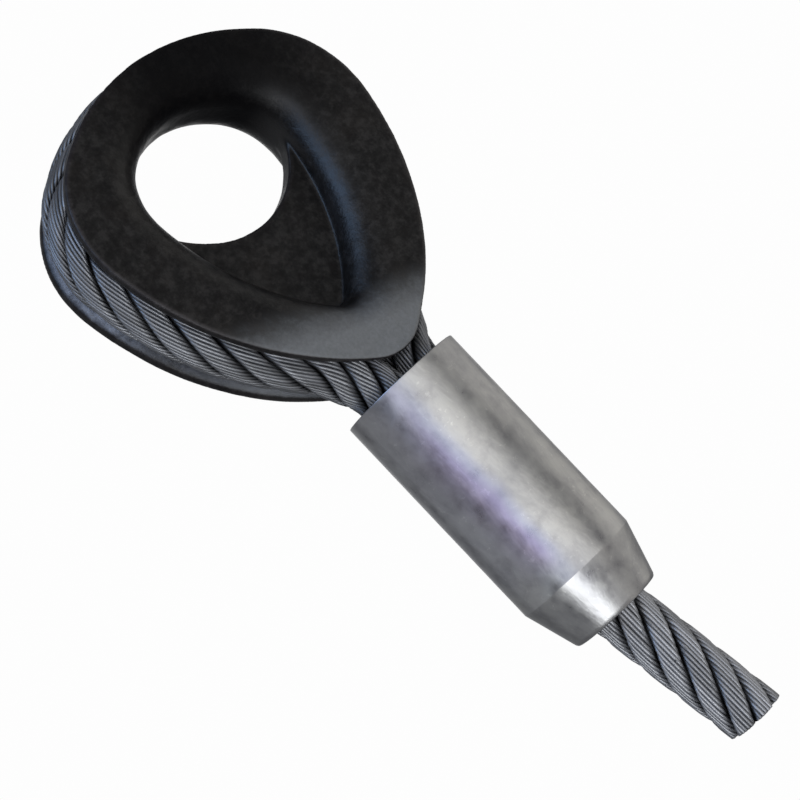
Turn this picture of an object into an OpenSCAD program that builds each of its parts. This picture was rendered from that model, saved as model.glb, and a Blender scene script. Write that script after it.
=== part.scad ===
// Wire rope eye on a solid thimble, closed by a pressed sleeve, with a free tail.
// The eye lies in the XZ plane with its crown up (+z) and its tip down; y runs across the
// thimble. The sleeve is centred on the z axis below the tip. The tail leans towards +x.

/* [Thimble] */
// Height of the flange edge above the origin, at the middle of the crown
crown_top = 53.8; // [50:0.1:58]
// Radius of the crown arc of the flange edge
crown_r = 97.2; // [85:0.1:110]
// Turning angle where the crown arc ends
crown_a = 34.7; // [30:0.1:40]
// Radius of the shoulder arcs of the flange edge
shoulder_r = 47; // [44:0.1:50]
// Turning angle where the shoulder arc ends
shoulder_a = 100; // [97:0.1:103]
// Radius of the two long side arcs of the flange edge
side_r = 129.8; // [120:0.1:140]
// Turning angle where the side arc ends and the tip arc starts
side_a = 150; // [146:0.1:153]
// Width of the thimble across its two cheeks
thimble_w = 43.4; // [42:0.1:48]
// Radius of the rounded flange edge
flange_round = 1.0; // [0.6:0.1:2]
// Depth from the flange edge to the rope centre
rope_inset = 7.3; // [6:0.1:8]

/* [Eye opening] */
// Height of the crown seat above the origin
seat_top = 29.7; // [28:0.1:31]
// Radius of the crown seat arc
seat_r = 46; // [42:0.1:50]
// Turning angle where the seat arc ends
seat_a = 36; // [33:0.1:39]
// Radius of the opening's two side arcs
opening_side_r = 27.4; // [25:0.1:28]
// Turning angle where the opening's side arc ends
opening_side_a = 96; // [94:0.1:98]
// Radius of the pocket's leg arcs
pocket_leg_r = 105; // [100:0.1:106]
// Turning angle where the pocket's leg arc ends
pocket_leg_a = 138; // [136:0.1:139]
// Radius of the rounding from the cheek down to the opening
throat_round = 17.7; // [12:0.1:18]
// Thickness of the gusset web that fills the pointed part
web_t = 10; // [8:0.5:16]
// Radius of the gusset's hollow edge
web_edge_r = 43.6; // [40:0.1:48]
// Height of the centre of the gusset's hollow edge
web_edge_z = 17; // [14:0.5:20]

/* [Rope] */
// Nominal rope diameter
rope_d = 26; // [24:0.1:26]
// Length of rope in one turn of a strand
lay = 110; // [100:1:120]
// Thickness of the rope in the eye, where the bend flattens it, over its diameter
bend_flat = 0.85; // [0.82:0.01:0.9]
// Width of the rope in the eye, over its diameter
bend_wide = 1.03; // [1:0.01:1.05]
// Clearance between the rope and the parts that hold it
rope_gap = 0.3; // [0.2:0.05:0.5]
// Sides of an outer strand's section
strand_n = 8; // [6:1:8]
// Greatest length of rope between two sections of a strand
step = 6.25; // [5:0.25:8]

/* [Sleeve] */
// Distance from the origin down to the sleeve's mouth
sleeve_top = 111.2; // [110:0.1:114]
// Outside diameter of the pressed sleeve
sleeve_d = 56; // [55:0.1:60]
// Length of the sleeve's straight part
sleeve_l = 102.5; // [95:0.5:120]
// Length of the sleeve's taper
taper_l = 23.5; // [15:0.5:30]
// Diameter of the taper's small end
taper_d = 42; // [38:0.1:46]
// Radius of the cavity that holds the two legs of the eye
cavity_r = 21.4; // [21.4:0.1:22.5]

/* [Tail] */
// Angle at which the tail leaves the sleeve
tail_a = 10.2; // [0:0.1:12]
// Radius of the bend where the tail leaves the sleeve
tail_bend_r = 70; // [60:1:140]
// Depth of the cut end of the tail below the origin
tail_end = 307; // [290:1:330]
// Number of flexing lengths of the tail
tail_n = 4; // [4:1:4]
// Gap between two flexing lengths of the tail
tail_gap = 2.1; // [2:0.1:2.4]

/* [Hidden] */
$fn = 96;

thimble_color = "#1d1c1e";
sleeve_color = "#9c9a98";
light_strand_color = "#85878d";
dark_strand_color = "#7d7f85";
king_color = "#5d5f63";
core_color = "#66686d";

half_w = thimble_w / 2;
rope_r = rope_d / 2;
bore_r = rope_r + rope_gap;

// ---- outlines in the XZ plane ----
// An arc is [centre, radius, start angle, end angle]. Angles turn from +z towards +x.
CENTRE = 0;
RADIUS = 1;
START = 2;
END = 3;

function direction(angle) = [sin(angle), cos(angle)];
function arc_point(arc, angle) = arc[CENTRE] + arc[RADIUS] * direction(angle);
function arc_length(arc) = arc[RADIUS] * (arc[END] - arc[START]) * PI / 180;

// A half outline is four tangent arcs that turn from 0 at the top to 180 at the bottom.
// The fourth radius closes the outline on the centre line.
function outline(top, radii, ends) = let (
    closing_r = (radii[0] * sin(ends[0]) + radii[1] * (sin(ends[1]) - sin(ends[0]))
                 + radii[2] * (sin(ends[2]) - sin(ends[1]))) / sin(ends[2]),
    all_radii = concat(radii, [closing_r]),
    angles = concat([0], ends, [180]),
    centre_0 = [0, top - radii[0]],
    centre_1 = centre_0 + (radii[0] - radii[1]) * direction(ends[0]),
    centre_2 = centre_1 + (radii[1] - radii[2]) * direction(ends[1]),
    centre_3 = centre_2 + (radii[2] - closing_r) * direction(ends[2]),
    centres = [centre_0, centre_1, centre_2, centre_3])
    [for (i = [0:3]) [centres[i], all_radii[i], angles[i], angles[i + 1]]];

flange_arcs = outline(crown_top, [crown_r, shoulder_r, side_r], [crown_a, shoulder_a, side_a]);
opening_arcs = outline(seat_top, [seat_r, opening_side_r, pocket_leg_r],
                       [seat_a, opening_side_a, pocket_leg_a]);

// Stations once round an outline, down the +x side and up the -x side:
// [arc number, fraction of the arc, side]. counts holds the steps in each arc.
function ring_stations(counts) = let (
    half = [for (i = [0:3]) for (k = [0:counts[i] - 1]) [i, k / counts[i]]])
    concat([for (place = half) concat(place, 1)],
           [[3, 1, 1]],
           [for (i = [len(half) - 1:-1:1]) concat(half[i], -1)]);
// Point of the half outline at a station, always on the +x side
function station_point(arcs, station) = let (arc = arcs[station[0]])
    arc_point(arc, arc[START] + (arc[END] - arc[START]) * station[1]);

// ---- rope centre line of the eye: half of it, from the crown down one leg ----
leg_heading = 139.5;  // angle where the leg starts to bend back
leg_x = 10.3;         // offset of the straight leg from the z axis
leg_end = 148;        // depth of the leg's cut end

inset_arcs = [for (i = [0:2]) let (arc = flange_arcs[i])
    [arc[CENTRE], arc[RADIUS] - rope_inset, arc[START], i == 2 ? leg_heading : arc[END]]];
leg_start = arc_point(inset_arcs[2], leg_heading);
leg_bend_r = (leg_start[0] - leg_x) / (1 - sin(leg_heading));
leg_centre = leg_start + leg_bend_r * direction(leg_heading);
leg_straight_z = leg_centre[1];
// The leg bends the other way, so its radius is negative
rope_arcs = concat(inset_arcs, [[leg_centre, -leg_bend_r, leg_heading, 90]]);
half_eye_l = [for (arc = rope_arcs) arc_length(arc)] * [1, 1, 1, 1] + leg_end + leg_straight_z;

// [x, z, angle of the outward normal] at a distance s >= 0 from the start of arc i
function half_eye_at(s, i = 0) =
    i == len(rope_arcs) ? [leg_x, leg_straight_z - s, 90]
  : let (arc = rope_arcs[i], length = arc_length(arc), angle = arc[START] + s / arc[RADIUS] * 180 / PI)
    s <= length ? concat(arc_point(arc, angle), angle) : half_eye_at(s - length, i + 1);
// Whole eye: s runs from one cut end to the other through the crown at 0
function eye_at(s) = let (place = half_eye_at(abs(s)))
    s >= 0 ? place : [-place[0], place[1], -place[2]];

// ---- rope section along the eye, as factors on its diameter ----
leg_flat = 0.95;            // thickness where the legs leave the bend
sleeve_flat = 0.78;         // thickness where the legs are pressed together
sleeve_wide = 1.22;         // width there
recover_z = [-70, -95];     // from bend_flat to leg_flat
press_z = [-96, -110];      // from leg_flat to sleeve_flat
widen_z = [-97, -122];      // from bend_wide to sleeve_wide

// Smooth step from 0 at span[0] to 1 at span[1], going down
function ramp(z, span) = let (f = min(1, max(0, (span[0] - z) / (span[0] - span[1]))))
    f * f * (3 - 2 * f);
function flatness(z) = bend_flat + (leg_flat - bend_flat) * ramp(z, recover_z)
    - (leg_flat - sleeve_flat) * ramp(z, press_z);
function wideness(z) = bend_wide + (sleeve_wide - bend_wide) * ramp(z, widen_z);

// A point of the eye: u outward from the opening, v across the thimble
function eye_point(s, u, v) = let (
    place = eye_at(s), z = place[1], offset = u * flatness(z) * direction(place[2]))
    [place[0] + offset[0], v * wideness(z), z + offset[1]];

// ---- thimble rim ----
rim_counts = [6, 8, 12, 4];  // stations in each arc
floor_margin = 0.45;         // metal left out under the rope's clearance
tip_floor_margin = 0.8;      // the same near the tip
tip_start = 0.7;             // fraction of the side arc after which the tip margin holds
tip_groove_depth = 12;       // least groove depth on the tip arc
wall_margin = 0.15;          // extra groove width to each side
arc_margin = 0.1;            // extra size of the groove's floor arc
wall_foot_margin = 0.2;      // extra width where the wall meets the floor arc
// Rounded flange edge, over flange_round: [depth, distance in from the cheek]
flange_profile = [[1.2, 0], [0.5, 0.15], [0.14, 0.5], [0, 1]];
// Flared groove mouth: [depth, extra half width]
groove_mouth = [[0, 2.2], [0.9, 1.3]];

// Half of the rim's section as [depth from the flange edge, y], from throat to groove.
// The groove's floor arc is floor_r deep and groove_w wide to each side.
function half_section(rim_depth, groove_depth, floor_r, groove_w) = let (
    floor_start = groove_depth - floor_r)
    concat(
        [for (t = [0:22.5:90]) [rim_depth - throat_round * (1 - cos(t)),
                                half_w - throat_round + throat_round * sin(t)]],
        [for (p = flange_profile) [flange_round * p[0], half_w - flange_round * p[1]]],
        [for (p = groove_mouth) [p[0], groove_w + p[1]]],
        [[floor_start, groove_w + wall_foot_margin]],
        [for (t = [30:30:60]) [floor_start + (floor_r + arc_margin) * sin(t),
                               (groove_w + arc_margin) * cos(t)]]);
function rim_section(rim_depth, groove_depth, floor_r, groove_w) = let (
    half = half_section(rim_depth, groove_depth, floor_r, groove_w))
    concat(half, [[groove_depth, 0]],
           [for (i = [len(half) - 1:-1:0]) [half[i][0], -half[i][1]]]);

// Distance in the XZ plane from a point with x >= 0 to the rope's centre line
function rope_distance(p) = min(concat(
    [for (arc = rope_arcs) let (
        v = sign(arc[RADIUS]) * (p - arc[CENTRE]),
        angle = atan2(v[0], v[1]))
        if (angle >= min(arc[START], arc[END]) && angle <= max(arc[START], arc[END]))
            abs(abs(arc[RADIUS]) - norm(v))],
    p[1] < leg_straight_z ? [abs(p[0] - leg_x)] : [],
    [norm(p - leg_start)]));
// Depth at which a line from the flange edge has passed the whole rope
function rope_depth(edge, inward, rim_depth) = max(concat([0],
    [for (depth = [0:0.25:rim_depth - 2]) let (p = edge + depth * inward)
        if (rope_distance([abs(p[0]), p[1]]) < rope_r * flatness(p[1])) depth]));

// Section of the rim between the flange edge and the opening at one station
function rim_ring(station) = let (
    edge = station_point(flange_arcs, station),
    span = station_point(opening_arcs, station) - edge,
    rim_depth = norm(span),
    inward = span / rim_depth,
    on_tip = station[0] == 3,
    near_tip = on_tip || (station[0] == 2 && station[1] > tip_start),
    groove_depth = max(rope_depth(edge, inward, rim_depth) + rope_gap
                       + (near_tip ? tip_floor_margin : floor_margin),
                       on_tip ? tip_groove_depth : 0),
    floor_r = bore_r * flatness(edge[1]),
    groove_w = wall_margin
        + bore_r * max(wideness(edge[1]), wideness(edge[1] + groove_depth * inward[1])))
    [for (p = rim_section(rim_depth, groove_depth, floor_r, groove_w))
        [station[2] * (edge[0] + p[0] * inward[0]), -p[1], edge[1] + p[0] * inward[1]]];

// ---- rope centre line of the tail: straight in the sleeve, bent, then straight ----
bend_z = -225;     // where the bend starts; s is 0 there
root_start = -70;  // s of the tail's end inside the sleeve
flex_start_s = 16; // s of the first flexing length
tail_bend_l = tail_bend_r * tail_a * PI / 180;
tail_l = (tail_end + bend_z) / cos(tail_a);
flex_pitch = (tail_l - flex_start_s + tail_gap) / tail_n;

// A point of the tail: u across it in the XZ plane, v along y
function tail_point(s, u, v) = let (
    bent = min(max(s, 0), tail_bend_l),
    straight = s - bent,
    angle = bent / tail_bend_r * 180 / PI)
    [tail_bend_r * (1 - cos(angle)) + straight * sin(angle) + u * cos(angle),
     v,
     bend_z - tail_bend_r * sin(angle) - straight * cos(angle) + u * sin(angle)];

// [start, end] of the tail's root and of flexing length k
root_span = [root_start, flex_start_s - tail_gap];
function flex_start(k) = flex_start_s + (k - 1) * flex_pitch;
function flex_span(k) = [flex_start(k), flex_start(k + 1) - tail_gap];

// ---- strands ----
// [distance from the rope's centre, radius outward, radius sideways, sides, length of a turn]
core_pitch = 46;
outer_strand = [9.02, 3.88, 4.25, strand_n, lay];
king_strand = [0, 1.55, 1.55, 6, core_pitch];
core_strand = [3.25, 1.5, 1.5, 5, core_pitch];

// Evenly spaced values over a span, no more than a step apart
function stations(span) = let (length = span[1] - span[0], n = max(2, ceil(length / step)))
    [for (i = [0:n]) span[0] + length * i / n];

// Section of a strand as [u, v]; turn is the strand's place round the rope
function strand_ring(s, turn, strand) = let (twist = turn - 360 * s / strand[4], n = strand[3])
    [for (j = [0:n - 1]) let (
        t = 360 * (j + 0.5) / n,
        x = strand[0] + strand[1] * cos(t),
        y = strand[2] * sin(t))
        [x * cos(twist) - y * sin(twist), x * sin(twist) + y * cos(twist)]];

// Corners of the quad between points j and j + 1 of ring i and the next ring
function quad(i, j, ring_count, sides) = let (
    next_i = (i + 1) % ring_count, next_j = (j + 1) % sides)
    [i * sides + j, i * sides + next_j, next_i * sides + next_j, next_i * sides + j];

// A capped tube from rings of equal length
module tube(rings) {
    n = len(rings[0]);
    count = len(rings);
    walls = [for (i = [0:count - 2]) for (j = [0:n - 1]) let (q = quad(i, j, count, n))
        each [[q[0], q[1], q[2]], [q[0], q[2], q[3]]]];
    start_cap = [for (j = [n - 1:-1:0]) j];
    end_cap = [for (j = [0:n - 1]) (count - 1) * n + j];
    polyhedron(points = [for (ring = rings) each ring],
               faces = concat([start_cap], walls, [end_cap]));
}

module eye_strand(turn, strand) {
    tube([for (s = stations([-half_eye_l, half_eye_l]))
        [for (p = strand_ring(s, turn, strand)) eye_point(s, p[0], p[1])]]);
}
module tail_strand(span, turn, strand) {
    tube([for (s = stations(span))
        [for (p = strand_ring(s, turn, strand)) tail_point(s, p[0], p[1])]]);
}
module tail_strands(span) {
    for (i = [0:5]) tail_strand(span, 60 * i, outer_strand);
}
module tail_core(span) {
    tail_strand(span, 0, king_strand);
    for (i = [0:5]) tail_strand(span, 60 * i, core_strand);
}

// ---- parts ----
// Closed ring of sections round the eye
module thimble_body() {
    rings = [for (station = ring_stations(rim_counts)) rim_ring(station)];
    n = len(rings[0]);
    count = len(rings);
    color(thimble_color) polyhedron(
        points = [for (ring = rings) each ring],
        faces = [for (i = [0:count - 1]) for (j = [0:n - 1]) let (q = quad(i, j, count, n))
            each [[q[0], q[2], q[1]], [q[0], q[3], q[2]]]]);
}

module gusset_web() {
    overlap = 1.03;  // scales the opening so that the web reaches into the rim
    points = [for (station = ring_stations([12, 12, 12, 12]))
        let (p = station_point(opening_arcs, station)) overlap * [station[2] * p[0], p[1]]];
    color(thimble_color) rotate([90, 0, 0]) difference() {
        translate([0, 0, -web_t / 2]) linear_extrude(web_t) polygon(points);
        translate([0, web_edge_z, -web_t]) cylinder(r = web_edge_r, h = 2 * web_t);
    }
}

// Depths are measured down from the origin
module sleeve() {
    taper_top = sleeve_top + sleeve_l;
    bottom = taper_top + taper_l;
    mouth_end = sleeve_top + 13;
    mouth_flare = 1.4;
    cavity_end = leg_end + 3;
    neck_l = 14;
    neck_end = cavity_end + neck_l;
    exit_l = 12;
    exit_flare = 1.1;
    eps = 0.01;
    color(sleeve_color) difference() {
        union() {
            translate([0, 0, -taper_top]) cylinder(d = sleeve_d, h = sleeve_l);
            translate([0, 0, -bottom]) cylinder(d1 = taper_d, d2 = sleeve_d, h = taper_l);
        }
        // Flared mouth, cavity for both legs, narrowing neck, tail bore, flared exit
        translate([0, 0, -mouth_end])
            cylinder(r1 = cavity_r, r2 = cavity_r + mouth_flare, h = mouth_end - sleeve_top + eps);
        translate([0, 0, -cavity_end]) cylinder(r = cavity_r, h = cavity_end - mouth_end + eps);
        translate([0, 0, -neck_end]) cylinder(r1 = bore_r, r2 = cavity_r, h = neck_l + eps);
        translate([0, 0, exit_l - bottom]) cylinder(r = bore_r, h = bottom - exit_l - neck_end + eps);
        translate([0, 0, -bottom - eps])
            cylinder(r1 = bore_r + exit_flare, r2 = bore_r, h = exit_l + 2 * eps);
    }
}

module loop_strand_1() { color(light_strand_color) eye_strand(0, outer_strand); }
module loop_strand_2() { color(dark_strand_color) eye_strand(60, outer_strand); }
module loop_strand_3() { color(light_strand_color) eye_strand(120, outer_strand); }
module loop_strand_4() { color(dark_strand_color) eye_strand(180, outer_strand); }
module loop_strand_5() { color(light_strand_color) eye_strand(240, outer_strand); }
module loop_strand_6() { color(dark_strand_color) eye_strand(300, outer_strand); }
module loop_core_king() { color(king_color) eye_strand(0, king_strand); }
module loop_core_strands() {
    color(core_color) for (i = [0:5]) eye_strand(60 * i, core_strand);
}
module tail_root_strands() { color(light_strand_color) tail_strands(root_span); }
module tail_root_core() { color(core_color) tail_core(root_span); }
module tail_strands_1() { color(light_strand_color) tail_strands(flex_span(1)); }
module tail_core_1() { color(core_color) tail_core(flex_span(1)); }
module tail_strands_2() { color(dark_strand_color) tail_strands(flex_span(2)); }
module tail_core_2() { color(core_color) tail_core(flex_span(2)); }
module tail_strands_3() { color(light_strand_color) tail_strands(flex_span(3)); }
module tail_core_3() { color(core_color) tail_core(flex_span(3)); }
module tail_strands_4() { color(dark_strand_color) tail_strands(flex_span(4)); }
module tail_core_4() { color(core_color) tail_core(flex_span(4)); }

thimble_body();
gusset_web();
sleeve();
loop_strand_1();
loop_strand_2();
loop_strand_3();
loop_strand_4();
loop_strand_5();
loop_strand_6();
loop_core_king();
loop_core_strands();
tail_root_strands();
tail_root_core();
tail_strands_1();
tail_core_1();
tail_strands_2();
tail_core_2();
tail_strands_3();
tail_core_3();
tail_strands_4();
tail_core_4();
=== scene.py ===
import math
from collections import namedtuple

import bpy
import numpy as np
from mathutils import Matrix, Vector


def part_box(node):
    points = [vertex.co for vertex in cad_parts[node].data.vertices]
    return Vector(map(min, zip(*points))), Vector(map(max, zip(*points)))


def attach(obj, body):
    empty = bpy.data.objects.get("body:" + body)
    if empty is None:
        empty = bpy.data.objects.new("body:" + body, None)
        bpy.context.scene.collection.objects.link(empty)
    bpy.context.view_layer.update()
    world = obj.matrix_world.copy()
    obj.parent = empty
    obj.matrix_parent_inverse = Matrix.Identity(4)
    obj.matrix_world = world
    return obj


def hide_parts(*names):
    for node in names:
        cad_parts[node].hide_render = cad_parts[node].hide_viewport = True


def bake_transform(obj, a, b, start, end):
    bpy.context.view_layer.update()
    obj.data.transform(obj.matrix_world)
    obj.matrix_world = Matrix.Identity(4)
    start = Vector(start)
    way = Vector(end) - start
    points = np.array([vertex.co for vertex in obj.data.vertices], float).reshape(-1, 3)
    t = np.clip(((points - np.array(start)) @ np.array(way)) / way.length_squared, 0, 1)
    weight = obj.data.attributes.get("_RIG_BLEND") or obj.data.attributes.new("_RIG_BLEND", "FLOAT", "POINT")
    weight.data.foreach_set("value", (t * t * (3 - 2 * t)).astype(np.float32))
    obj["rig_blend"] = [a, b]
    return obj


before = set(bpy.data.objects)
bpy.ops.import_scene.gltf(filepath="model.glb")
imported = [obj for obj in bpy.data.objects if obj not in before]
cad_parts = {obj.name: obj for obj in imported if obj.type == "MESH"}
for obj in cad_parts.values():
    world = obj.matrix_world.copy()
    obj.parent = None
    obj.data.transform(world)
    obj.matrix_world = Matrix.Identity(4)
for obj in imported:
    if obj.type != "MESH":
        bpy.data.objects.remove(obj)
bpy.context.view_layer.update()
MM = 0.001

# --------------------------------------------------------------------------
# Sizes, in millimetres and degrees
# --------------------------------------------------------------------------
HALF_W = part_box("thimble_body")[1][1] / MM
CROWN_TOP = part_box("thimble_body")[1][2] / MM
SLEEVE_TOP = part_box("sleeve")[1][2] / MM
SLEEVE_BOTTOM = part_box("sleeve")[0][2] / MM
SLEEVE_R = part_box("sleeve")[1][0] / MM

# Detail: mesh pitch of the thimble, then spacing along the rope and sides of each wire
THIMBLE_PITCH = 0.95
SLEEVE_SIDES = 288
LOOP_STEP, LOOP_SIDES = ((2.0, 6))
TAIL_STEP, TAIL_SIDES = ((1.25, 7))

Arcs = namedtuple("Arcs", "radii ends centres")


def direction(angle):
    """Unit vector in XZ at an angle in radians from +Z towards +X."""
    return np.array([math.sin(angle), math.cos(angle)])


def arc_chain(top, radii, ends):
    """Half an outline of four tangent arcs; the last radius brings it back to x = 0."""
    s = [math.sin(math.radians(a)) for a in ends]
    closing = (radii[0] * s[0] + radii[1] * (s[1] - s[0]) + radii[2] * (s[2] - s[1])) / s[2]
    radii = [*radii, closing]
    ends = [*ends, 180.0]
    centres = [np.array([0.0, top - radii[0]])]
    for i in range(3):
        shift = (radii[i] - radii[i + 1]) * direction(math.radians(ends[i]))
        centres.append(centres[-1] + shift)
    return Arcs(radii, ends, centres)


OUTER = arc_chain(CROWN_TOP, (97.2, 47.0, 129.8), (34.7, 100.0, 150.0))
INNER = arc_chain(29.7, (46.0, 27.4, 105.0), (36.0, 96.0, 138.0))
INSET = 7.3  # rope's centre line inside the outer outline

# Rope's centre line: three arcs beside the thimble, one curving back, then a straight leg
LEG_HEADING = 139.5
LEG_X = 10.3
LEG_BOTTOM = -130.0
EYE_R = [r - INSET for r in OUTER.radii[:3]]
_leg_way = direction(math.radians(LEG_HEADING))
LEG_JOINT = OUTER.centres[2] + EYE_R[2] * _leg_way
LEG_R = (LEG_JOINT[0] - LEG_X) / (1 - _leg_way[0])
LEG_C = LEG_JOINT + LEG_R * _leg_way
EYE_R.append(-LEG_R)  # negative: it curves the other way
EYE_C = [*OUTER.centres[:3], LEG_C]
EYE_HEADINGS = [0.0, *OUTER.ends[:2], LEG_HEADING, 90.0]
EYE_BREAKS = np.cumsum(
    [r * math.radians(EYE_HEADINGS[i + 1] - EYE_HEADINGS[i]) for i, r in enumerate(EYE_R)]
)
EYE_HALF = EYE_BREAKS[3] + (LEG_C[1] - LEG_BOTTOM)

# Rope's thickness across the bend and along Y, as a share of round
FLAT_CROWN, FLAT_TIP, FLAT_SLEEVE = 0.85, 0.95, 0.78
WIDE_CROWN, WIDE_SLEEVE = 1.03, 1.22


def eye_line(s):
    """x, z and heading (radians) of the rope's centre at distance s from the crown."""
    q = np.abs(s)
    spans = [q <= end for end in EYE_BREAKS]
    starts = (0.0, *EYE_BREAKS)
    turns = [math.radians(EYE_HEADINGS[i]) + (q - starts[i]) / r for i, r in enumerate(EYE_R)]
    arcs = list(zip(EYE_C, EYE_R, turns))
    x = np.select(spans, [c[0] + r * np.sin(t) for c, r, t in arcs], LEG_X)
    z = np.select(
        spans, [c[1] + r * np.cos(t) for c, r, t in arcs], LEG_C[1] - (q - EYE_BREAKS[3])
    )
    heading = np.select(spans, turns, math.pi / 2)
    side = np.where(s >= 0, 1.0, -1.0)
    return x * side, z, heading * side


def ramp(z, z0, z1):
    """Smooth step from 0 at z0 to 1 at z1, the lower of the two."""
    t = np.clip((z0 - z) / (z0 - z1), 0, 1)
    return t * t * (3 - 2 * t)


def flat_u(z):
    """The bend flattens the rope, and its legs are pressed together at the sleeve."""
    eased = FLAT_CROWN + (FLAT_TIP - FLAT_CROWN) * ramp(z, -70.0, -95.0)
    return eased - (FLAT_TIP - FLAT_SLEEVE) * ramp(z, -96.0, -110.0)


def flat_v(z):
    return WIDE_CROWN + (WIDE_SLEEVE - WIDE_CROWN) * ramp(z, -97.0, -122.0)


def eye_pt(s, u, v):
    """Place at distance s along the loop, u out from its centre line and v along Y."""
    x, z, heading = eye_line(s)
    out = u * flat_u(z)
    return np.stack([x + out * np.sin(heading), v * flat_v(z), z + out * np.cos(heading)], -1)


# Tail: straight down to BEND_Z, a short bend, then straight at TAIL_A to a level cut
TAIL_A, BEND_R, BEND_Z = math.radians(10.2), 70.0, -225.0
BEND_LENGTH = BEND_R * TAIL_A
TAIL_END = -307.0
TAIL_L = (BEND_Z - TAIL_END) / math.cos(TAIL_A)
# Hinges: where the first rigid length starts, the gap between lengths, and their pitch
FLEX_START, GAP = 16.0, 2.1
FLEX = (TAIL_L - FLEX_START + GAP) / 4
HINGE_REACH = 7.0
TAIL_ABOVE, TAIL_BEYOND = 34.0, 9.0  # extra rope inside the sleeve, and past the cut
BODIES = ["eye", "tail_1", "tail_2", "tail_3", "tail_4"]


def tail_pt(s, u, v):
    """Place at distance s along the tail from BEND_Z, u across it in XZ and v along Y."""
    t = np.clip(s, 0, BEND_LENGTH) / BEND_R
    e = np.maximum(s - BEND_LENGTH, 0)
    x = BEND_R * (1 - np.cos(t)) + e * math.sin(TAIL_A)
    z = BEND_Z - np.minimum(s, 0) - BEND_R * np.sin(t) - e * math.cos(TAIL_A)
    return np.stack([x + u * np.cos(t), v, z + u * np.sin(t)], -1)


# --------------------------------------------------------------------------
# Mesh helpers
# --------------------------------------------------------------------------
def new_mesh(name, verts, smooth_faces, flat_faces=(), attributes=None):
    """verts in mm; flat_faces is a list of arrays, each of faces with one corner count."""
    me = bpy.data.meshes.new(name)
    verts = np.asarray(verts, np.float32) * MM
    loops, starts, totals, count = [], [], [], 0
    for faces in (smooth_faces, *flat_faces):
        faces = np.asarray(faces, np.int32)
        loops.append(faces.ravel())
        starts.append(count + np.arange(len(faces), dtype=np.int32) * faces.shape[1])
        totals.append(np.full(len(faces), faces.shape[1], np.int32))
        count += faces.size
    loops, starts, totals = map(np.concatenate, (loops, starts, totals))
    me.vertices.add(len(verts))
    me.vertices.foreach_set("co", verts.ravel())
    me.loops.add(len(loops))
    me.loops.foreach_set("vertex_index", loops)
    me.polygons.add(len(starts))
    me.polygons.foreach_set("loop_start", starts)
    me.polygons.foreach_set("loop_total", totals)
    me.update(calc_edges=True)
    for key, values in (attributes or {}).items():
        attribute = me.attributes.new(key, "FLOAT", "POINT")
        attribute.data.foreach_set("value", np.asarray(values, np.float32))
    me.polygons.foreach_set("use_smooth", np.arange(len(starts)) < len(smooth_faces))
    ob = bpy.data.objects.new(name, me)
    bpy.context.scene.collection.objects.link(ob)
    return ob


def dome(ring, inner):
    """A slightly smaller ring, 0.9 mm beyond the end ring of a tube."""
    centre = ring.mean(1, keepdims=True)
    ahead = centre - inner.mean(1, keepdims=True)
    ahead /= np.linalg.norm(ahead)
    return centre + (ring - centre) * 0.90 + 0.9 * ahead


class Tubes:
    """Gathers many closed tubes into one mesh."""

    def __init__(self):
        self.verts, self.quads, self.caps, self.count = [], [], {}, 0
        self.attributes = {}

    def add(self, rings, end=None, **attributes):
        """rings: (k, m, 3). The ends are domed, or the last is cut level at z = end."""
        if end is not None:
            k = int(np.argmax(rings[:, :, 2].min(1) < end))
            before = rings[k - 1]
            beyond = rings[k] + (rings[k] - before) * 3
            t = (before[:, 2] - end) / (before[:, 2] - beyond[:, 2])
            last = before + (beyond - before) * t[:, None]
            rings = np.concatenate([rings[:k], last[None]])
        k, m = rings.shape[:2]
        parts = [dome(rings[:1], rings[1:2]), rings]
        if end is None:
            parts.append(dome(rings[-1:], rings[-2:-1]))
        rings = np.concatenate(parts)
        index = self.count + np.arange(len(rings) * m).reshape(-1, m)
        a, b = index[:-1], index[1:]
        quads = np.stack([a, np.roll(a, -1, 1), np.roll(b, -1, 1), b], -1)
        self.quads.append(quads[1:k].reshape(-1, 4))
        self.caps.setdefault(4, []).extend([*quads[0], *quads[k:].reshape(-1, 4)])
        self.caps.setdefault(m, []).extend([index[0][::-1], index[-1]])
        self.verts.append(rings.reshape(-1, 3))
        for key, values in attributes.items():
            values = np.asarray(values, float)
            values = values[:k] if values.ndim else np.broadcast_to(values, (k, m))
            parts = [values[:1], values]
            if end is None:
                parts.append(values[-1:])
            self.attributes.setdefault(key, []).append(np.concatenate(parts).ravel())
        self.count += len(rings) * m

    def build(self, name):
        return new_mesh(
            name,
            np.concatenate(self.verts),
            np.concatenate(self.quads),
            [np.array(faces) for faces in self.caps.values()],
            {key: np.concatenate(x) for key, x in self.attributes.items()},
        )


def hash01(*keys):
    """A repeatable number from 0 to 1."""
    x = 0.0
    for i, key in enumerate(keys):
        x += (key + 1.37) * (12.9898 + 65.233 * i)
    return (math.sin(x) * 43758.5453) % 1.0


def wave_noise(p, scale, seed, octaves=3):
    """Smooth repeatable noise, about -1..1, from warped sums of sines. p is (n, 3) in mm."""
    q = p / scale
    out = np.zeros(len(p))
    amp, total = 1.0, 0.0
    for octave in range(octaves):
        a = [hash01(seed, octave, i) * 6.28 for i in range(7)]
        x, y, z = q.T
        warp = [np.sin(y * 1.3 + a[0]), np.sin(z * 1.1 + a[1]), np.sin(x * 1.2 + a[2])]
        x, y, z = (q + 0.6 * np.stack(warp, 1)).T
        out += amp * (
            np.sin(x * 1.7 + 0.6 * y + a[3]) * np.sin(y * 1.5 - 0.7 * z + a[4])
            + np.sin(z * 1.9 + 0.5 * x + a[5]) * np.sin(x * 1.1 - y * 0.8 + a[6])
        )
        total += 1.2 * amp
        q = q * 2.07
        amp *= 0.5
    return out / total


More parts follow.
